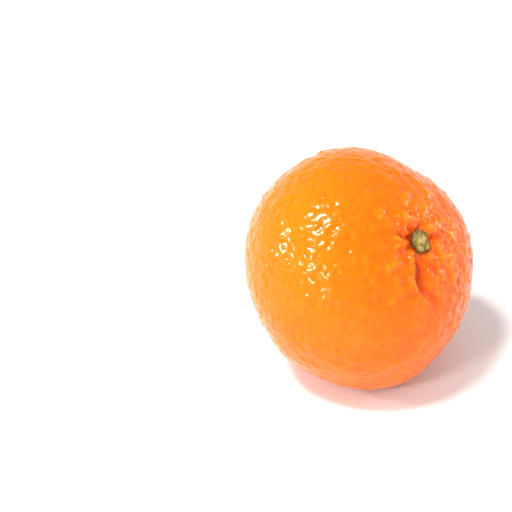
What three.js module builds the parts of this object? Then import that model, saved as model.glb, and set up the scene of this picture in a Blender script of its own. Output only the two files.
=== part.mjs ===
// A picked mandarin, lying on the spot where its own weight has pressed it flat.
// Millimetres, +Z up. The origin is on the surface it lies on, at the middle of its box.
// The stem end leans forward, towards -Y.
//
// The rind is one closed surface around the fruit's centre. Its radius is a formula of the
// direction from the centre, given as polar, the angle from the stem end, and turn, the angle
// around the stem. The calyx button grows from the stem end and is a piece of its own.

import * as THREE from "three";

// The fruit's size and stance
const EQUATOR = 34; // radius around the middle
const POLE = 27.5; // from the centre to the stem end, before its dimple
const FULLNESS = 2.12; // 2 gives an ellipsoid, and more gives fuller shoulders
const LEAN = 50; // degrees from upright to the stem
const PRESSED = 2.1; // height lost where the fruit lies flat
const PRESS_EDGE = 0.5; // height over which the flat spot rounds into the rind

// Where the fruit grew fuller or flatter than the plain form
const SWELLINGS = [
  { polar: 52, turn: -5, spread: 22, rise: 0.9 },
  { polar: 92, turn: -105, spread: 24, rise: 0.9 },
  { polar: 80, turn: 78, spread: 26, rise: 0.6 },
  { polar: 112, turn: 118, spread: 26, rise: 0.5 },
  { polar: 115, turn: -158, spread: 14, rise: 0.6 },
  { polar: 150, turn: -90, spread: 42, rise: 1.8 },
  { polar: 62, turn: -62, spread: 22, rise: -0.6 },
  { polar: 76, turn: -82, spread: 16, rise: -0.5 },
  { polar: 64, turn: 42, spread: 16, rise: -0.9 },
  { polar: 116, turn: -174, spread: 16, rise: -0.5 },
  { polar: 108, turn: -134, spread: 18, rise: -0.3 },
];

// The hollows at the two ends, and the furrow that runs out from the stem
const STEM_DIMPLE = { depth: 1.5, reach: 5 };
const BLOSSOM_DIMPLE = { depth: 0.9, reach: 6 };
const FURROW = {
  turn: 230,
  swerve: 24, // degrees that it swings aside
  swerveFrom: 11,
  swerveTo: 17, // distances from the stem over which it swings
  opens: 3,
  deepest: 7,
  closing: 13,
  ends: 20,
  depth: 1.4,
  wall: 0.9, // reach of the steep side
  slope: 3, // reach of the gentle side
  lip: { rise: 0.45, offset: 2, reach: 1.6 }, // the swollen edge above the steep side
};

// The calyx button: a ring of five blunt lobes around the cut end of the stem
const GAP = 0.3; // between the button and the rind
const BUTTON = { radius: 3.2, lobes: 5, lobeRise: 0.07, rim: 0.5, crown: 1.3 };
const STEM = { radius: 1.15, above: 0.5, edge: 0.3 };

// Fineness of the two surfaces
const RIND_GRID = { around: 72, rings: 42, crowding: 0.35 };
const BUTTON_GRID = { around: 40, rings: 8 };

const radians = THREE.MathUtils.degToRad;

/** 0 before from, 1 after to, and a smooth step between them. */
function ramp(x, from, to) {
  return THREE.MathUtils.smoothstep(x, from, to);
}

/** A bell of height 1 that has fallen to 1/e at reach. */
function bell(x, reach) {
  return Math.exp(-((x / reach) ** 2));
}

/** The unit direction at a polar angle and a turn, in radians. */
function direction(polar, turn) {
  const side = Math.sin(polar);
  return new THREE.Vector3(side * Math.cos(turn), side * Math.sin(turn), Math.cos(polar));
}

/** Height of the furrow's section at a distance out from the stem and a turn: its hollow and lip. */
function furrowHeight(out, turn) {
  const centre = FURROW.turn + FURROW.swerve * ramp(out, FURROW.swerveFrom, FURROW.swerveTo);
  const apart = turn - radians(centre);
  const across = out * Math.atan2(Math.sin(apart), Math.cos(apart));
  const reach = across < 0 ? FURROW.wall : FURROW.slope;
  const { rise, offset, reach: lipReach } = FURROW.lip;
  const section = rise * bell(across + offset, lipReach) - FURROW.depth * bell(across, reach);
  const along = ramp(out, FURROW.opens, FURROW.deepest) * (1 - ramp(out, FURROW.closing, FURROW.ends));
  return section * along;
}

/** Distance from the fruit's centre to its rind along a unit direction. */
function rindRadius(towards) {
  const side = Math.hypot(towards.x, towards.y);
  const plain = ((side / EQUATOR) ** FULLNESS + (Math.abs(towards.z) / POLE) ** FULLNESS) ** (-1 / FULLNESS);
  const swollen = SWELLINGS.reduce((sum, { polar, turn, spread, rise }) => {
    const away = towards.angleTo(direction(radians(polar), radians(turn)));
    return sum + rise * bell(away, radians(spread));
  }, plain);

  const polar = Math.acos(THREE.MathUtils.clamp(towards.z, -1, 1));
  const fromStem = polar * plain;
  const fromBlossom = (Math.PI - polar) * plain;
  const dimples = STEM_DIMPLE.depth * bell(fromStem, STEM_DIMPLE.reach)
    + BLOSSOM_DIMPLE.depth * bell(fromBlossom, BLOSSOM_DIMPLE.reach);
  return swollen - dimples + furrowHeight(fromStem, Math.atan2(towards.y, towards.x));
}

/** Height above the surface once the underside is pressed flat: never below 0, with a rounded edge. */
function pressedHeight(z) {
  const edge = Math.max(PRESS_EDGE - Math.abs(z), 0) / PRESS_EDGE;
  return Math.max(z, 0) + (edge * edge * PRESS_EDGE) / 4;
}

/** Moves every vertex of a geometry by a function that changes the vector it is given. */
function reshape(geometry, change) {
  const places = geometry.attributes.position;
  const place = new THREE.Vector3();
  for (let i = 0; i < places.count; i += 1) {
    change(place.fromBufferAttribute(places, i));
    places.setXYZ(i, place.x, place.y, place.z);
  }
  geometry.computeVertexNormals();
  geometry.computeBoundingBox();
  return geometry;
}

/** The rind around its own centre, stem end leaning forward, before it lies down. */
function leaningRind() {
  const { around, rings, crowding } = RIND_GRID;
  const ball = new THREE.SphereGeometry(1, around, rings).rotateX(Math.PI / 2);
  return reshape(ball, (place) => {
    const even = Math.acos(THREE.MathUtils.clamp(place.z, -1, 1));
    const crowded = even - (crowding / 2) * Math.sin(2 * even); // closer rings at both ends
    const towards = direction(crowded, Math.atan2(place.y, place.x));
    place.copy(towards).multiplyScalar(rindRadius(towards));
  }).rotateX(radians(LEAN));
}

/** The calyx button with the stem's cut end, on the fruit's own axis, clear of the rind by GAP. */
function calyxButton() {
  const { around, rings } = BUTTON_GRID;
  const ball = new THREE.SphereGeometry(1, around, rings * 2).rotateX(Math.PI / 2);
  return reshape(ball, (place) => {
    const turn = Math.atan2(place.y, place.x);
    const under = place.z < -1e-6;
    const climb = Math.asin(THREE.MathUtils.clamp(Math.abs(place.z), 0, 1));
    const share = 1 - climb / (Math.PI / 2); // 0 on the axis, 1 at the rim
    const lobe = 1 + BUTTON.lobeRise * share ** 2 * Math.cos(BUTTON.lobes * turn);
    const out = share * BUTTON.radius * lobe;
    const towards = direction(Math.atan2(out, POLE), turn);
    const dome = BUTTON.rim + (BUTTON.crown - BUTTON.rim) * Math.sqrt(1 - share * share);
    const stem = STEM.above * (1 - ramp(out, STEM.radius, STEM.radius + STEM.edge));
    const thickness = under ? 0 : dome + stem;
    place.copy(towards).multiplyScalar(rindRadius(towards) + GAP + thickness);
  });
}

const rind = leaningRind();
const low = rind.boundingBox.min;
const high = rind.boundingBox.max;
const centre = new THREE.Vector3(-(low.x + high.x) / 2, -(low.y + high.y) / 2, -low.z - PRESSED);
rind.translate(centre.x, centre.y, centre.z);
reshape(rind, (place) => place.setZ(pressedHeight(place.z)));

const fruit = new THREE.Mesh(
  rind,
  new THREE.MeshStandardMaterial({ color: 0xff8a0c, roughness: 0.38, metalness: 0 }),
);
fruit.name = "fruit";

const calyx = new THREE.Mesh(
  calyxButton(),
  new THREE.MeshStandardMaterial({ color: 0x9a8a3c, roughness: 0.75, metalness: 0 }),
);
calyx.name = "calyx";

const stemEnd = new THREE.Group();
stemEnd.position.copy(centre);
stemEnd.rotation.x = radians(LEAN);
stemEnd.add(calyx);

const mandarin = new THREE.Group();
mandarin.add(fruit, stemEnd);

export default mandarin;
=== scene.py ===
# %% [markdown]
# # A ripe mandarin
#
# One picked mandarin lies on a white table, its stem end leaning towards the front. This lesson
# makes its two pieces: the rind, which is one closed skin over everything that grew inside it,
# and the calyx, the dry green button that is left where the stem was cut.
#
# A fruit could be sculpted by hand, or a ball could be given modifiers. Here each surface is a
# formula of the direction from the fruit's centre, worked out with numpy. A formula is easy to
# read and to change, and it places each furrow and pit at its real size in millimetres.

# %% Frame and tools
import math

import bpy
import numpy as np
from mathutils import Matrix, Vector


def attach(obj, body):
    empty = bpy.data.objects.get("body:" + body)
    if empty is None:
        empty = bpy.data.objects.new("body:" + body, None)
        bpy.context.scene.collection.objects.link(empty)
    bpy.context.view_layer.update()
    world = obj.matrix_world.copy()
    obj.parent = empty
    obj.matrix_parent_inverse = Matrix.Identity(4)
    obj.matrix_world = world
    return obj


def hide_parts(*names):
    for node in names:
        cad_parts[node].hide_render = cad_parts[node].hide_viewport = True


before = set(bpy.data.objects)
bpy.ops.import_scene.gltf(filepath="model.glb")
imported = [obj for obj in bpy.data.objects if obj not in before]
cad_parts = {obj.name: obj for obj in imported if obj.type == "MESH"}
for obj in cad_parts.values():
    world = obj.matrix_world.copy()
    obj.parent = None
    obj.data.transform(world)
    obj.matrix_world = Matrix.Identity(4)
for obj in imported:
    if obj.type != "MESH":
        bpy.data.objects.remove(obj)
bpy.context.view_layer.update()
MM = 0.001  # this lesson's shapes are in millimetres, and Blender's are in metres

# %% [markdown]
# ## The form of the fruit
#
# A mandarin is wider than it is tall: an ellipsoid with slightly fuller shoulders, which a
# superellipse gives with an exponent a little over 2. No fruit is quite regular, so broad
# swellings are added where it grew fuller, and broad flats where it grew against a neighbour.
# A noise texture could do that too, but named swellings stay where they are put.
#
# Each place on the rind has two angles: polar, from the stem end, and turn, around the stem.

# %% Driving dimensions
EQUATOR = 34.0  # radius around the middle
POLE = 27.5  # from the centre to the stem end, before its dimple
FULLNESS = 2.12  # 2 gives an ellipsoid, and more gives fuller shoulders
LEAN = 50.0  # degrees from upright to the stem
PRESSED = 2.1  # height lost where the fruit lies flat
PRESS_EDGE = 0.5  # height over which the flat spot rounds into the rind

SWELLINGS = [  # polar, turn, spread in degrees, and rise
    (52, -5, 22, 0.9),
    (92, -105, 24, 0.9),
    (80, 78, 26, 0.6),
    (112, 118, 26, 0.5),
    (115, -158, 14, 0.6),
    (150, -90, 42, 1.8),
    (62, -62, 22, -0.6),
    (76, -82, 16, -0.5),
    (64, 42, 16, -0.9),
    (116, -174, 16, -0.5),
    (108, -134, 18, -0.3),
]
STEM_DIMPLE = (1.5, 5.0)  # depth and reach
BLOSSOM_DIMPLE = (0.9, 6.0)


# %% Helpers for curves and directions
def bell(x, reach):
    """A bell of height 1 that has fallen to 1/e at reach."""
    return np.exp(-np.square(x / reach))


def ramp(x, start, end):
    """0 before start, 1 after end, and a smooth step, 3t squared less 2t cubed, between them."""
    t = np.clip((x - start) / (end - start), 0, 1)
    return t * t * (3 - 2 * t)


def direction(polar, turn):
    """The unit vector at a polar angle and a turn, in degrees: z is along the stem."""
    p, t = np.radians(polar), np.radians(turn)
    return np.stack([np.sin(p) * np.cos(t), np.sin(p) * np.sin(t), np.cos(p) + 0 * t], axis=-1)


def angle_between(towards, axis):
    """The angle in degrees between each unit vector and one axis, from their dot product."""
    return np.degrees(np.arccos(np.clip(towards @ axis, -1, 1)))


# %% The plain fruit
def grown_radius(towards):
    """A superellipse, (side/EQUATOR)^n + (up/POLE)^n = 1, with a bell added for each swelling."""
    side = np.hypot(towards[:, 0], towards[:, 1])
    up = np.abs(towards[:, 2])
    radius = ((side / EQUATOR) ** FULLNESS + (up / POLE) ** FULLNESS) ** (-1 / FULLNESS)
    for polar, turn, spread, rise in SWELLINGS:
        radius += rise * bell(angle_between(towards, direction(polar, turn)), spread)
    return radius


# %% [markdown]
# ## A skin with no seam
#
# A ball made of rings has a pole at each end, where its faces shrink to needles that pinch the
# light. Blowing up a cube gives even four-sided faces instead. Six flat grids become the six
# sides of a cube; a tangent spaces their lines evenly in angle; and the cube is pushed out to a
# ball. The grids' shared borders are then merged, so that the skin is closed.
#
# The finest detail is at the stem, so every direction is also drawn a little towards it. That
# crowds the faces there and thins them at the blossom end.

# %% A ball of even squares
CELLS = 128  # squares along a cube's edge: 196,608 triangles in all, at 0.3 to 0.5 mm
CROWDING = 0.3  # how far the faces crowd towards the stem


def ball_of_squares(cells):
    """Unit vectors and four-sided faces: six grids of tan(angle), pushed out to a ball."""
    lines = np.tan(np.linspace(-math.pi / 4, math.pi / 4, cells + 1))
    u, v = np.meshgrid(lines, lines, indexing="ij")
    one = np.ones_like(u)
    sides = [(one, u, v), (-one, v, u), (v, one, u), (u, -one, v), (u, v, one), (v, u, -one)]
    points = np.concatenate([np.stack(side, axis=-1).reshape(-1, 3) for side in sides])
    keys, first, merged = np.unique(
        np.round(points, 6), axis=0, return_index=True, return_inverse=True
    )
    index = np.arange((cells + 1) ** 2).reshape(cells + 1, cells + 1)
    square = np.stack([index[:-1, :-1], index[1:, :-1], index[1:, 1:], index[:-1, 1:]], axis=-1)
    faces = np.concatenate([square.reshape(-1, 4) + i * index.size for i in range(6)])
    unit = points[first] / np.linalg.norm(points[first], axis=1, keepdims=True)
    return unit, merged.reshape(-1)[faces]


def crowd_to_stem(unit, crowding):
    """Each polar angle p becomes p less crowding times sin p, and the turn stays."""
    even = np.arccos(np.clip(unit[:, 2], -1, 1))
    polar = even - crowding * np.sin(even)
    turn = np.arctan2(unit[:, 1], unit[:, 0])
    return direction(np.degrees(polar), np.degrees(turn))


ball, rind_faces = ball_of_squares(CELLS)
towards = crowd_to_stem(ball, CROWDING)
plain = grown_radius(towards)
polar = np.arccos(np.clip(towards[:, 2], -1, 1))
turn = np.degrees(np.arctan2(towards[:, 1], towards[:, 0]))
from_stem = polar * plain  # millimetres over the rind, near enough
from_blossom = (math.pi - polar) * plain
print("the ball has", len(ball), "points and", 2 * len(rind_faces), "triangles")

# %% [markdown]
# ## Folds at the stem
#
# A mandarin's rind is loose. As the fruit ripens, the stem stops pulling it up, and it sags into
# folds that run out from the calyx. The deepest here has one steep side under a swollen lip and
# one gentle side. The others are narrow creases.
#
# All of them use the same two measures: how far out from the stem a place is, and how far across
# from the fold's own line. The fold's section is then a bell across, and it fades along.

# %% Furrow and creases
FURROW_TURN = 230.0
FURROW_SWERVE = 24.0  # degrees that the furrow swings aside, from 11 to 17 mm out
FURROW_DEPTH = 1.45
FURROW_WALL = 1.05  # reach of the steep side
FURROW_SLOPE = 3.2  # reach of the gentle side
LIP_RISE, LIP_OFFSET, LIP_REACH = 0.85, 1.8, 1.2

CREASES = [  # turn, bend in degrees per mm out, start, end, depth, reach across
    (141, 0.0, 1.5, 11.5, 0.75, 0.75),
    (184, -0.3, 2.0, 12.5, 0.55, 0.8),
    (62, -1.5, 1.5, 8.0, 0.6, 0.8),
    (357, -0.6, 1.5, 10.0, 0.65, 0.7),
    (300, 0.8, 2.0, 9.0, 0.4, 0.8),
    (100, 0.5, 2.0, 7.0, 0.35, 0.7),
]


def across_from(line):
    """Millimetres sideways from a line of turns: the angle apart, times the distance out."""
    apart = np.radians((turn - line + 180) % 360 - 180)
    return apart * plain * np.sin(polar)


def uneven(distance, lengths, phase):
    """A mean of sines, one for each wavelength in mm, so that no two stretches are alike."""
    waves = [
        np.sin(2 * math.pi * distance / length + phase * n) for n, length in enumerate(lengths, 1)
    ]
    return sum(waves) / len(lengths)


def furrow():
    """Height of the main furrow, a bell with one steep side under a lip, and masks for the
    painted shade in its hollow and the painted highlight along its lip.
    """
    wander = 0.75 * uneven(from_stem, (7.3, 4.1, 2.7), 1.9)
    across = across_from(FURROW_TURN + FURROW_SWERVE * ramp(from_stem, 10, 18)) + wander
    along = ramp(from_stem, 2.5, 8) * (1 - ramp(from_stem, 12, 20))
    slope = FURROW_SLOPE * (1 + 0.25 * uneven(from_stem, (5.2, 3.1), 0.7))
    hollow = bell(across, np.where(across < 0, FURROW_WALL, slope))
    swell = 1 + 0.55 * uneven(from_stem, (3.9, 2.6), 2.6)
    lip = LIP_RISE * swell * bell(across + LIP_OFFSET, LIP_REACH)
    # painted shade: a darker red in the furrow's hollow, beside its steep wall
    shade = ramp(from_stem, 2.5, 8) * (1 - ramp(from_stem, 14, 23)) * bell(across - 1.1, 2.0)
    # the third is the lip's mask, for a painted highlight along it
    return along * (lip - FURROW_DEPTH * hollow), shade, along * lip / LIP_RISE


def creases():
    """Height and painted shade of the narrow creases: each a bell across, faded at both its ends."""
    height, shade = np.zeros_like(plain), np.zeros_like(plain)
    for line, bend, start, end, depth, reach in CREASES:
        across = across_from(line + bend * from_stem) + 0.3 * uneven(from_stem, (4.4, 2.9), line)
        along = ramp(from_stem, start, start + 2) * (1 - ramp(from_stem, end * 0.5, end))
        height -= depth * along * bell(across, reach)
        height += 0.35 * depth * along * bell(np.abs(across) - 2.2 * reach, reach)
        # painted shade: a darker red along each crease
        shade = np.maximum(shade, along * bell(across, reach) * depth)
    return height, shade


furrow_height, furrow_shade, furrow_lip_highlight = furrow()
crease_height, crease_shade = creases()
print("the furrow is", round(-furrow_height.min(), 2), "mm deep")

# %% [markdown]
# ## Pits and pebbles
#
# Citrus rind is full of oil glands. The skin sinks a little over each, which gives the orange
# peel pits, and it bulges between them where it is loose. What makes the fruit shine as it does
# is these pits: each one catches its own small picture of the window.
#
# Pits could be a bump texture, but then the outline and the mesh itself would be smooth.
# Here they are real: points are spread evenly over the ball along a spiral, moved about a
# little, and every place sinks by the sum of the bells of the pits around it.

# %% Points spread over the ball
random = np.random.default_rng(68)


def scattered(count, wander):
    """Points on a golden-angle spiral, which spaces them evenly, each moved by a random step."""
    step = np.arange(count) + 0.5
    up = 1 - 2 * step / count
    around = step * math.pi * (3 - math.sqrt(5))
    side = np.sqrt(1 - up * up)
    even = np.stack([side * np.cos(around), side * np.sin(around), up], axis=-1)
    spacing = math.sqrt(4 * math.pi / count)
    moved = even + random.normal(0, wander * spacing, even.shape)
    return moved / np.linalg.norm(moved, axis=1, keepdims=True)


def summed_bells(centres, reaches, heights, block=4096):
    """At each place, the sum over all centres of height times a bell of the chord to the centre."""
    total = np.zeros(len(towards), np.float32)
    sharpness = (1 / np.square(reaches / MEAN_RADIUS)).astype(np.float32)
    centres32, towards32 = centres.astype(np.float32), towards.astype(np.float32)
    for start in range(0, len(towards), block):
        chord_squared = 2 - 2 * (towards32[start:start + block] @ centres32.T)
        total[start:start + block] = np.exp(-chord_squared * sharpness) @ heights.astype(np.float32)
    return total


MEAN_RADIUS = float(plain.mean())


def count_at(spacing):
    """How many points lie this many millimetres apart, in a triangular lattice, on the rind."""
    return int(4 * math.pi * MEAN_RADIUS**2 / (spacing**2 * math.sqrt(3) / 2))


# %% Pits, pebbles and puckers
PIT_SPACING, PIT_REACH, PIT_DEPTH = 2.4, 0.85, 0.23
PEBBLE_SPACING, PEBBLE_REACH, PEBBLE_RISE = 3.0, 1.15, 0.24


def pits():
    """Sum of small bells, each with its own reach and depth, sinking the skin over the glands."""
    centres = scattered(count_at(PIT_SPACING), 0.2)
    reaches = PIT_REACH * random.uniform(0.7, 1.3, len(centres))
    depths = PIT_DEPTH * random.uniform(0.3, 1.5, len(centres))
    return summed_bells(centres, reaches, depths)


def pebbles():
    """Sum of wider bells, some up and some down, for the bulges of a loose rind."""
    centres = scattered(count_at(PEBBLE_SPACING), 0.25)
    reaches = PEBBLE_REACH * random.uniform(0.8, 1.3, len(centres))
    rises = PEBBLE_RISE * random.uniform(-1.0, 1.6, len(centres))
    return summed_bells(centres, reaches, rises)


# The rind is looser, so more pebbly, around the stem and down the side that lies to its right
TIGHT, LOOSEST = 0.35, 1.5  # looseness of the smooth side, and the most there is
LOOSE_SIDE, LOOSE_SPREAD = direction(55, -40), 48  # its middle, and its spread in degrees
LOOSE_REACH = 15  # mm around the stem

loose_side = bell(angle_between(towards, LOOSE_SIDE), LOOSE_SPREAD)
loose_stem = bell(from_stem, LOOSE_REACH)
looseness = np.clip(TIGHT + 0.6 * loose_side + 0.8 * loose_stem, 0, LOOSEST)
pit_depth = pits() * (0.9 + 0.1 * looseness)
pebble_height = pebbles() * (0.3 + 1.0 * looseness)
print("pits up to", round(float(pit_depth.max()), 2), "mm deep, about", PIT_SPACING, "mm apart")

# %% [markdown]
# ## The blossom end
#
# Opposite the stem is the scar of the flower: a small dry disc in a shallow dimple, with short
# folds around it like a drawn purse.

# %% Blossom scar and folds
SCAR_RADIUS = 1.25
PURSE_FOLDS, PURSE_DEPTH = 9, 0.3

around = np.radians(turn)
purse = np.cos(PURSE_FOLDS * around + 1.5 * np.sin(2 * around)) * bell(from_blossom - 2.6, 1.9)
ragged_edge = SCAR_RADIUS * (1 + 0.16 * np.cos(5 * around + 0.6) + 0.1 * np.cos(3 * around))
scar = 1 - ramp(from_blossom, ragged_edge * 0.7, ragged_edge * 1.2)
scar_rim = 0.3 * bell(from_blossom - SCAR_RADIUS * 1.5, 0.5)
scar_height = PURSE_DEPTH * purse + scar_rim - 0.35 * scar
# painted shade: a deeper red in the purse's folds and around the blossom scar
purse_shade = np.clip(-purse, 0, 1) * 0.7 + 0.6 * bell(from_blossom, 2.6)

# %% [markdown]
# ## Lying down
#
# The sum of all these is the rind around its own centre. It is leaned over, lowered, and pressed
# flat where it touches the table: a smooth maximum of the height and zero, so the flat spot has
# a rounded edge. The pits fade out on the spot, because there the rind is pressed against the
# table. Its box is then centred over the origin.

# %% The rind's surface
def lean(points):
    """Turns points about X, so that the stem leans forward, towards -Y."""
    c, s = math.cos(math.radians(LEAN)), math.sin(math.radians(LEAN))
    return points @ np.array([[1, 0, 0], [0, c, -s], [0, s, c]]).T


def pressed(z):
    """A smooth maximum of height and zero: z above, 0 below, and a parabola across the edge."""
    edge = np.maximum(PRESS_EDGE - np.abs(z), 0) / PRESS_EDGE
    return np.maximum(z, 0) + edge * edge * PRESS_EDGE / 4


def stem_and_blossom(radius):
    """The broad dimples at the two ends, each a bell of the distance from it."""
    dimples = STEM_DIMPLE[0] * bell(from_stem, STEM_DIMPLE[1])
    return radius - dimples - BLOSSOM_DIMPLE[0] * bell(from_blossom, BLOSSOM_DIMPLE[1])


smooth_radius = stem_and_blossom(plain)
leaning = lean(towards * smooth_radius[:, None])
CENTRE_HEIGHT = -leaning[:, 2].min() - PRESSED
off_table = ramp(leaning[:, 2] + CENTRE_HEIGHT, -0.5, 2.5)
button_room = ramp(from_stem, 2.2, 4.2)  # the skin is smooth under the calyx
skin = (pebble_height - pit_depth) * button_room * (1 - scar) * off_table
radius = smooth_radius + furrow_height + crease_height + scar_height + skin

rind_points = lean(towards * radius[:, None])
rind_points[:, 2] = pressed(rind_points[:, 2] + CENTRE_HEIGHT)
middle = (rind_points.min(axis=0) + rind_points.max(axis=0)) / 2
CENTRE = np.array([-middle[0], -middle[1], CENTRE_HEIGHT])
rind_points[:, :2] -= middle[:2]
print("the rind's box in mm:", rind_points.min(axis=0).round(2), rind_points.max(axis=0).round(2))


# %% Into a mesh
def mesh_object(name, points, faces, marks=None):
    """A smooth-shaded object from points in mm, faces, and named numbers for the materials."""
    mesh = bpy.data.meshes.new(name)
    mesh.from_pydata(points * MM, [], faces.tolist())
    mesh.polygons.foreach_set("use_smooth", np.ones(len(faces), bool))
    for key, values in (marks or {}).items():
        attribute = mesh.attributes.new(key, "FLOAT", "POINT")
        attribute.data.foreach_set("value", np.asarray(values, np.float32))
    mesh.validate()
    mesh.update()
    piece = bpy.data.objects.new(name, mesh)
    bpy.context.scene.collection.objects.link(piece)
    return piece


def shared(values, low, high):
    """Values scaled so that low becomes 0 and high becomes 1, and cut off there."""
    return np.clip((values - low) / (high - low), 0, 1)


# %% Dry marks and painted shade around the button
FLECKS = [(20, 354, 0.55), (13, 142, 0.5)]
STREWN_FLECKS = 9  # more of them, thinly spread over the whole fruit


def dry_marks_and_shade():
    """A ring around the button, of dry skin and painted shade, and small flecks: each a bell of the
    way to it.
    """
    # the ring is partly dry skin and partly painted shade under the button's edge
    dry_and_shade_ring = bell(from_stem - 3.3, 0.75) * 0.8
    strewn = scattered(STREWN_FLECKS, 0.5)
    reaches = random.uniform(0.2, 0.4, len(strewn))
    named = np.array([direction(p, t) for p, t, _ in FLECKS])
    centres = np.concatenate([strewn, named])
    reaches = np.concatenate([reaches, [reach for _, _, reach in FLECKS]])
    return np.clip(dry_and_shade_ring + 0.8 * summed_bells(centres, reaches, np.ones(len(centres))), 0, 1)


rind = mesh_object("rind", rind_points, rind_faces, {
    # dry flecks, and a ring of dry skin and painted shade around the button
    "dry_and_shade": dry_marks_and_shade(),
    "pit": shared(pit_depth, 0.05, 0.45),
    # painted shade in the furrow, the creases and the purse folds
    "painted_fold_shade": np.clip(furrow_shade + crease_shade + purse_shade, 0, 1),
    "loose": shared(looseness, TIGHT, LOOSEST),
    # painted shade: darker in the hollows between pebbles on the loose side
    "painted_valley_shade": shared(-skin * (looseness - TIGHT), 0.0, 0.35),
    # painted highlight: paler on the pebbles' crests and along the furrow's lip
    "painted_crest_highlight": np.clip(shared(skin * looseness, 0.0, 0.25) + 0.8 * furrow_lip_highlight, 0, 1),
    "scar": scar,
})
print("rind:", len(rind.data.vertices), "points")

# %% [markdown]
# ## The calyx and the cut stem
#
# The calyx is the flower's old cup: five blunt sepals grown into one dry, fleshy button that
# grips the stem. A picker cuts the stem flush with clippers, which leaves a small pale disc of
# wood in the middle.
#
# The button could be a squashed ball, but it has to follow the rind that it lies on. So the same
# ball of squares is used again: its upper half becomes the top, its lower half the underside, and
# each point is lifted off the rind by a thickness that depends on how far out it is.

# %% The button's surface
BUTTON_RADIUS = 3.1
SEPALS, SEPAL_TURN, SEPAL_RISE = 5, 20.0, 0.05
RIM, CROWN = 0.6, 1.6  # thickness at the edge and at the middle
STEM_RADIUS, STEM_ABOVE, STEM_SUNK = 1.05, 0.45, 0.2
GROOVE_DEPTH = 0.2  # between two sepals
BUTTON_CLEAR = 0.03  # between its underside and the rind
BUTTON_CELLS = 44
RIM_BAND = 0.12  # share of the ball's height that becomes the upright edge


def wrinkle(turns, out, waves, seed):
    """A mean of cosines, whole waves around times waves outwards, each with a random phase."""
    phases = np.random.default_rng(seed).uniform(0, 2 * math.pi, (len(waves), 2))
    parts = [
        np.cos(n * turns + a) * np.cos(0.7 * n * out + b) for n, (a, b) in zip(waves, phases)
    ]
    return sum(parts) / len(parts)


def rind_under_button(out):
    """Distance from the fruit's centre to the dimpled rind, this many mm out from the stem."""
    side, up = np.sin(np.arctan2(out, POLE)), np.cos(np.arctan2(out, POLE))
    grown = ((side / EQUATOR) ** FULLNESS + (up / POLE) ** FULLNESS) ** (-1 / FULLNESS)
    return grown - STEM_DIMPLE[0] * bell(out, STEM_DIMPLE[1])


def button_surface(unit):
    """Dome, collar and stem added to a rim, times a wavy edge, over the rind's own height."""
    turns = np.arctan2(unit[:, 1], unit[:, 0])
    climb = np.arcsin(np.clip(np.abs(unit[:, 2]), 0, 1)) / (math.pi / 2)
    share = np.clip((1 - climb) / (1 - RIM_BAND / 2), 0, 1)  # 0 on the axis, 1 at the rim
    sepals = np.cos(SEPALS * (turns - math.radians(SEPAL_TURN)))
    ragged = 0.07 * wrinkle(turns, 0, (2, 3, 7, 11), 3)
    out = share * BUTTON_RADIUS * (1 + share**2 * (SEPAL_RISE * sepals + ragged))
    dome = RIM + (CROWN - RIM) * np.sqrt(np.clip(1 - share**2, 0, 1))
    collar = 0.2 * bell(out - STEM_RADIUS * 1.3, 0.3)
    stem = STEM_ABOVE * (1 - ramp(out, STEM_RADIUS * 0.85, STEM_RADIUS * 1.15))
    sunk = STEM_SUNK * (1 - ramp(out, 0.2, STEM_RADIUS * 0.8))
    groove = GROOVE_DEPTH * bell(sepals + 1, 0.5) * ramp(share, 0.45, 0.8)
    lumps = 0.9 * wrinkle(turns, out, (1, 2, 3, 4), 5) * ramp(out, 0.2, 1.2)
    rough = 0.14 * wrinkle(turns, out, (6, 9, 13, 17), 8) * ramp(out, 0.3, 1.3) + lumps
    lifted = ramp(unit[:, 2], -RIM_BAND, RIM_BAND)
    height = lifted * np.maximum(dome + collar + stem - sunk - groove + rough, 0.25)
    at = direction(np.degrees(np.arctan2(out, POLE)), np.degrees(turns))
    points = at * (rind_under_button(out) + BUTTON_CLEAR + height)[:, None]
    marks = {
        "cut": 1 - ramp(out, STEM_RADIUS * 0.75, STEM_RADIUS * 1.0),
        "rim": ramp(share, 0.8, 1.0),
        "groove": groove / GROOVE_DEPTH,
    }
    return points, marks


button_ball, button_faces = ball_of_squares(BUTTON_CELLS)
button_points, button_marks = button_surface(button_ball)
button = mesh_object("calyx_button", lean(button_points) + CENTRE, button_faces, button_marks)
print("button:", 2 * len(button_faces), "triangles,", 2 * BUTTON_RADIUS, "mm across")

# %% [markdown]
# ## Finishes
#
# A material here is one Principled shader, with a few nodes that give its colour, roughness and
# bump. Painting an image would also work, but a pattern worked out from the place on the fruit
# stays sharp at any size. Colours are written as the hex values a screen shows, and one function
# turns them to the linear light that Blender mixes.

# %% Helpers for materials
def linear(hex_colour):
    """The sRGB curve undone: the hex value's three parts, as linear light, with alpha 1."""
    parts = [int(hex_colour[i:i + 2], 16) / 255 for i in (1, 3, 5)]
    return [c / 12.92 if c <= 0.04045 else ((c + 0.055) / 1.055) ** 2.4 for c in parts] + [1.0]


def node(material, kind, inputs=None, **settings):
    """Adds a node, sets its properties, and links or sets each of its inputs by name or number."""
    made = material.node_tree.nodes.new("ShaderNode" + kind)
    for name, value in settings.items():
        setattr(made, name, value)
    for name, value in (inputs or {}).items():
        if isinstance(value, bpy.types.NodeSocket):
            material.node_tree.links.new(value, made.inputs[name])
        else:
            made.inputs[name].default_value = value
    return made


def new_material(name, **constants):
    """A material with an empty Principled shader, and the constants set on its own sockets."""
    material = bpy.data.materials.new(name)
    material.use_nodes = True
    shader = material.node_tree.nodes["Principled BSDF"]
    for key, value in constants.items():
        shader.inputs[key.replace("_", " ")].default_value = value
    return material, shader


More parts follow.
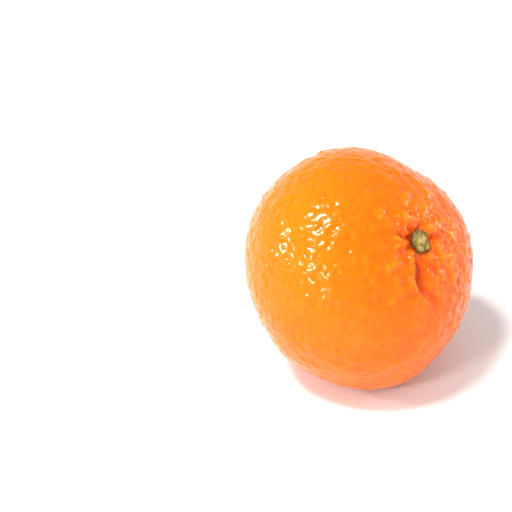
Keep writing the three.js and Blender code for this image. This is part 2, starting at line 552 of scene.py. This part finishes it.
def mixed(material, share, first, second, mode="MIX"):
    """Colour output of a mix of two colours, by a share that is a number or a socket."""
    made = node(material, "Mix", {0: share, 6: first, 7: second}, data_type="RGBA", blend_type=mode)
    return made.outputs[2]


def ramped(material, value, low, high, to_low=0.0, to_high=1.0):
    """A value's range from low to high, laid onto another range and cut off at its ends."""
    inputs = {"Value": value, "From Min": low, "From Max": high, "To Min": to_low, "To Max": to_high}
    return node(material, "MapRange", inputs).outputs["Result"]


def mark(material, name):
    """A number that was stored on the mesh's points."""
    return node(material, "Attribute", attribute_name=name).outputs["Fac"]


def per_mm(spacing):
    """Texture scale whose features lie this many millimetres apart on Object coordinates."""
    return 1 / (spacing * MM)


# %% [markdown]
# ### Waxed citrus rind
#
# The rind is a tough skin full of orange oil, under the thin wax that packers spray on. The oil
# makes the colour deep and lets light run a few millimetres under the skin, so shadows turn red
# and never black. The wax gives small hard glints over a softer sheen, which is what two layers
# of gloss show: a rougher skin below, and a smoother coat above.
#
# The colour could be one orange, but ripening is uneven: broad clouds run from yellow orange to
# red orange, and each gland is a darker dot. The pebbles' crests and the furrow's lip are
# painted paler, a painted highlight, and the folds and the hollows between pebbles are painted
# a deeper red, a painted shade. Dry flecks are rub marks, and the brown ring around the button
# is partly dry skin and partly painted shade.

# %% Rind material
RIND_GOLD = linear("#ea7200")
RIND_ORANGE = linear("#e66b00")
RIND_RED = linear("#e46602")
# painted highlight: the paler colour of the crests and the lip
PAINTED_HIGHLIGHT_PEACH = linear("#ee8a20")
# painted shade: the deeper red of the folds and of the valleys between pebbles
PAINTED_SHADE_RED = linear("#d24a04")
# brown of dry flecks, and of the ring of dry skin and painted shade at the button
DRY_AND_SHADE_BROWN = linear("#8a3c08")
SCAR_TAN = linear("#7d4f22")
CLOUD_SPACING = 22.0  # mm between patches of colour
GLAND_SPACING = 0.95  # mm between oil glands
WAX_SPACING = 0.35  # mm between unevennesses in the wax, drawn coarse enough to show


def rind_material():
    """Clouds of orange, darker glands, painted shade in folds and valleys, painted highlights on
    crests, dry marks with painted shade, and pores as bump under a wax coat.
    """
    material, shader = new_material(
        "waxed_citrus_rind", IOR=1.38, Coat_Weight=0.15, Coat_Roughness=0.05, Coat_IOR=1.5,
        Subsurface_Weight=0.1, Subsurface_Radius=(1.0, 0.3, 0.05), Subsurface_Scale=0.002,
        Specular_Tint=linear("#fff6ea"),
    )
    place = node(material, "TexCoord").outputs["Object"]
    clouds = node(material, "TexNoise", {
        "Vector": place, "Scale": per_mm(CLOUD_SPACING), "Detail": 3.0, "Roughness": 0.55})
    glands = node(material, "TexVoronoi", {
        "Vector": place, "Scale": per_mm(GLAND_SPACING), "Randomness": 0.85}, feature="F1")
    wax = node(material, "TexNoise", {
        "Vector": place, "Scale": per_mm(WAX_SPACING), "Detail": 2.0, "Roughness": 0.5})

    warm = ramped(material, clouds.outputs["Fac"], 0.35, 0.62)
    colour = mixed(material, warm, RIND_GOLD, RIND_ORANGE)
    loose = ramped(material, mark(material, "loose"), 0.0, 1.0, 0.0, 0.2)
    colour = mixed(material, loose, colour, RIND_RED)
    gland = ramped(material, glands.outputs["Distance"], 0.1, 0.45, 0.2, 0.0)
    colour = mixed(material, gland, colour, RIND_RED)
    pit = ramped(material, mark(material, "pit"), 0.0, 1.0, 0.0, 0.2)
    colour = mixed(material, pit, colour, RIND_RED)
    # painted highlight: crests and the furrow's lip are painted paler
    painted_crest_highlight = ramped(material, mark(material, "painted_crest_highlight"), 0.0, 1.0, 0.0, 0.5)
    colour = mixed(material, painted_crest_highlight, colour, PAINTED_HIGHLIGHT_PEACH)
    # painted shade: the valleys between pebbles are painted a deeper red
    painted_valley_shade = ramped(material, mark(material, "painted_valley_shade"), 0.0, 1.0, 0.0, 0.75)
    colour = mixed(material, painted_valley_shade, colour, PAINTED_SHADE_RED)
    # painted shade: the folds are painted a deeper red
    painted_fold_shade = ramped(material, mark(material, "painted_fold_shade"), 0.0, 1.0, 0.0, 0.9)
    colour = mixed(material, painted_fold_shade, colour, PAINTED_SHADE_RED)
    # dry flecks and rub marks, and painted shade in the ring around the button
    colour = mixed(material, mark(material, "dry_and_shade"), colour, DRY_AND_SHADE_BROWN)
    patchy = ramped(material, wax.outputs["Fac"], 0.35, 0.6, 0.45, 1.0)
    scarred = node(material, "Math", {0: mark(material, "scar"), 1: patchy}, operation="MULTIPLY")
    colour = mixed(material, scarred.outputs[0], colour, SCAR_TAN)

    gloss = ramped(material, wax.outputs["Fac"], 0.3, 0.7, 0.14, 0.24)
    duller = ramped(material, mark(material, "loose"), 0.0, 1.0, 0.0, 0.14)
    gloss = node(material, "Math", {0: gloss, 1: duller}, operation="ADD").outputs[0]
    gland_height = ramped(material, glands.outputs["Distance"], 0.0, 0.5)
    pores = node(material, "Bump", {
        "Height": gland_height, "Distance": 0.02 * MM, "Strength": 1.0})
    waxed = node(material, "Bump", {
        "Height": wax.outputs["Fac"], "Distance": 0.008 * MM, "Strength": 1.0,
        "Normal": pores.outputs["Normal"]})
    links = material.node_tree.links
    links.new(colour, shader.inputs["Base Color"])
    links.new(gloss, shader.inputs["Roughness"])
    links.new(waxed.outputs["Normal"], shader.inputs["Normal"])
    return material


rind.data.materials.append(rind_material())
print("rind finish: glands", GLAND_SPACING, "mm apart")

# %% [markdown]
# ### Dry calyx and cut wood
#
# The sepals are plant tissue that has dried on the fruit: olive green where it is thick, brown
# and papery at its edge, with a dull, slightly waxy sheen. The stem's cut end is pale wood with
# a darker ring of bark. One material serves both, because they are one piece: the numbers stored
# on its points say which part is which.

# %% Calyx material
OLIVE = linear("#786620")
OLIVE_PALE = linear("#b09a4c")
BARK_BROWN = linear("#4e3412")
CUT_WOOD = linear("#b39a72")
FIBRE_SPACING = 0.5  # mm between fibres of dry tissue
PATCH_SPACING = 3.0  # mm between paler patches


def calyx_material():
    """Olive patches, brown towards the rim and in the grooves, and a pale disc of cut wood."""
    material, shader = new_material(
        "dry_calyx", IOR=1.45, Coat_Weight=0.25, Coat_Roughness=0.25)
    place = node(material, "TexCoord").outputs["Object"]
    fibres = node(material, "TexNoise", {
        "Vector": place, "Scale": per_mm(FIBRE_SPACING), "Detail": 4.0, "Roughness": 0.6})
    patches = node(material, "TexNoise", {
        "Vector": place, "Scale": per_mm(PATCH_SPACING), "Detail": 2.0})
    colour = mixed(material, ramped(material, patches.outputs["Fac"], 0.4, 0.65), OLIVE, OLIVE_PALE)
    dark = ramped(material, fibres.outputs["Fac"], 0.5, 0.75, 0.0, 0.5)
    colour = mixed(material, dark, colour, BARK_BROWN)
    groove = ramped(material, mark(material, "groove"), 0.0, 1.0, 0.0, 0.5)
    colour = mixed(material, groove, colour, BARK_BROWN)
    rim = ramped(material, mark(material, "rim"), 0.0, 1.0, 0.0, 0.8)
    colour = mixed(material, rim, colour, BARK_BROWN)
    patchy = ramped(material, fibres.outputs["Fac"], 0.3, 0.6, 0.45, 1.0)
    cut = node(material, "Math", {0: mark(material, "cut"), 1: patchy}, operation="MULTIPLY")
    colour = mixed(material, cut.outputs[0], colour, CUT_WOOD)
    dull = ramped(material, fibres.outputs["Fac"], 0.3, 0.7, 0.42, 0.7)
    bump = node(material, "Bump", {
        "Height": fibres.outputs["Fac"], "Distance": 0.12 * MM, "Strength": 1.0})
    links = material.node_tree.links
    links.new(colour, shader.inputs["Base Color"])
    links.new(dull, shader.inputs["Roughness"])
    links.new(bump.outputs["Normal"], shader.inputs["Normal"])
    return material


button.data.materials.append(calyx_material())

# %% Pieces in the frame
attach(rind, "root")
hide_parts("fruit")
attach(button, "root")
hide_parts("calyx")

# %% [markdown]
# ## Table, light and camera
#
# A fruit shines as it does because of what it mirrors, so the lights matter as much as the wax.
# Three bright panes of a window on the left make the glints, and a dim pane on the right picks
# out the pebbles there. A room that is white near the table and dimmer above, and the table
# itself, fill the shadows and give the pale sheen at the fruit's edges.

# %% Table
TABLE_SIZE = 1.6  # metres


def paper_material():
    """Matt white paper: a pale colour and no gloss."""
    material, _ = new_material(
        "white_paper", Base_Color=linear("#eeeeee"), Roughness=0.9, Specular_IOR_Level=0.1)
    return material


half = TABLE_SIZE / 2
table_mesh = bpy.data.meshes.new("table")
table_mesh.from_pydata(
    [(-half, -half, 0), (half, -half, 0), (half, half, 0), (-half, half, 0)], [], [(0, 1, 2, 3)])
table_mesh.materials.append(paper_material())
table = bpy.data.objects.new("table", table_mesh)
bpy.context.scene.collection.objects.link(table)

# %% Lights
FRUIT_CENTRE = Vector(CENTRE * MM)


def towards_sky(turn_degrees, rise_degrees):
    """Unit vector to a place around and above the fruit: turn 0 is in front, and 90 on the right."""
    t, r = math.radians(turn_degrees), math.radians(rise_degrees)
    return Vector((math.sin(t) * math.cos(r), -math.cos(t) * math.cos(r), math.sin(r)))


def panel(name, turn_degrees, rise_degrees, distance, size, radiance, colour="#ffffff"):
    """A soft rectangular light that faces the fruit: its watts are radiance times area times pi."""
    light = bpy.data.lights.new(name, "AREA")
    light.shape = "RECTANGLE"
    light.size, light.size_y = size
    light.energy = radiance * size[0] * size[1] * math.pi
    light.color = linear(colour)[:3]
    lamp = bpy.data.objects.new(name, light)
    away = towards_sky(turn_degrees, rise_degrees)
    lamp.location = FRUIT_CENTRE + away * distance
    lamp.rotation_euler = away.to_track_quat("Z", "Y").to_euler()
    bpy.context.scene.collection.objects.link(lamp)
    return lamp


panel("window_upper", -106, 64, 1.2, (0.28, 0.22), 62)
panel("window_left", -130, 22, 1.2, (0.12, 0.11), 95)
panel("window_lower", -84, 28, 1.2, (0.20, 0.07), 95)
panel("window_right", 58, 18, 1.2, (0.30, 0.16), 12)

WALL_TOP = 12.0  # degrees above the table where the white walls start to dim
CEILING_FROM = 0.6  # sine of the elevation where they are as dim as the ceiling
WALL_WHITE, CEILING_WHITE = 0.95, 0.52  # brightness
world = bpy.data.worlds.new("room")
world.use_nodes = True
sky_direction = node(world, "TexCoord").outputs["Generated"]
sky_height = node(world, "SeparateXYZ", {0: sky_direction}).outputs["Z"]  # sine of the elevation
wall_top = math.sin(math.radians(WALL_TOP))
white = ramped(world, sky_height, wall_top, CEILING_FROM, WALL_WHITE, CEILING_WHITE)
sky = world.node_tree.nodes["Background"]
sky.inputs["Color"].default_value = linear("#ffffff")
world.node_tree.links.new(white, sky.inputs["Strength"])
bpy.context.scene.world = world
view = bpy.context.scene.view_settings
view.view_transform = "Standard"  # keeps bright orange pure, where a film curve would fade it
view.look = "Medium High Contrast"

# %% Camera
VIEW_TURN, VIEW_RISE = -45.6, 32.0  # degrees around from the front, and above the table
VIEW_DISTANCE = 0.40  # metres to the fruit's centre
VIEW_ASIDE, VIEW_BELOW = 0.0296, 0.0031  # how far right of and below the aim the fruit stands
VIEW_FIELD = 0.1459  # metres that the frame takes in, at the fruit's distance

camera_data = bpy.data.cameras.new("camera")
camera = bpy.data.objects.new("camera", camera_data)
bpy.context.scene.collection.objects.link(camera)
bpy.context.scene.camera = camera
back = towards_sky(VIEW_TURN, VIEW_RISE)
camera.rotation_euler = back.to_track_quat("Z", "Y").to_euler()
right = camera.rotation_euler.to_matrix() @ Vector((1, 0, 0))
up = camera.rotation_euler.to_matrix() @ Vector((0, 1, 0))
camera.location = FRUIT_CENTRE + back * VIEW_DISTANCE - right * VIEW_ASIDE + up * VIEW_BELOW
camera_data.lens = camera_data.sensor_width * VIEW_DISTANCE / VIEW_FIELD
camera_data.clip_start = 0.01
print("camera at", [round(x, 3) for x in camera.location], "lens", round(camera_data.lens, 1), "mm")
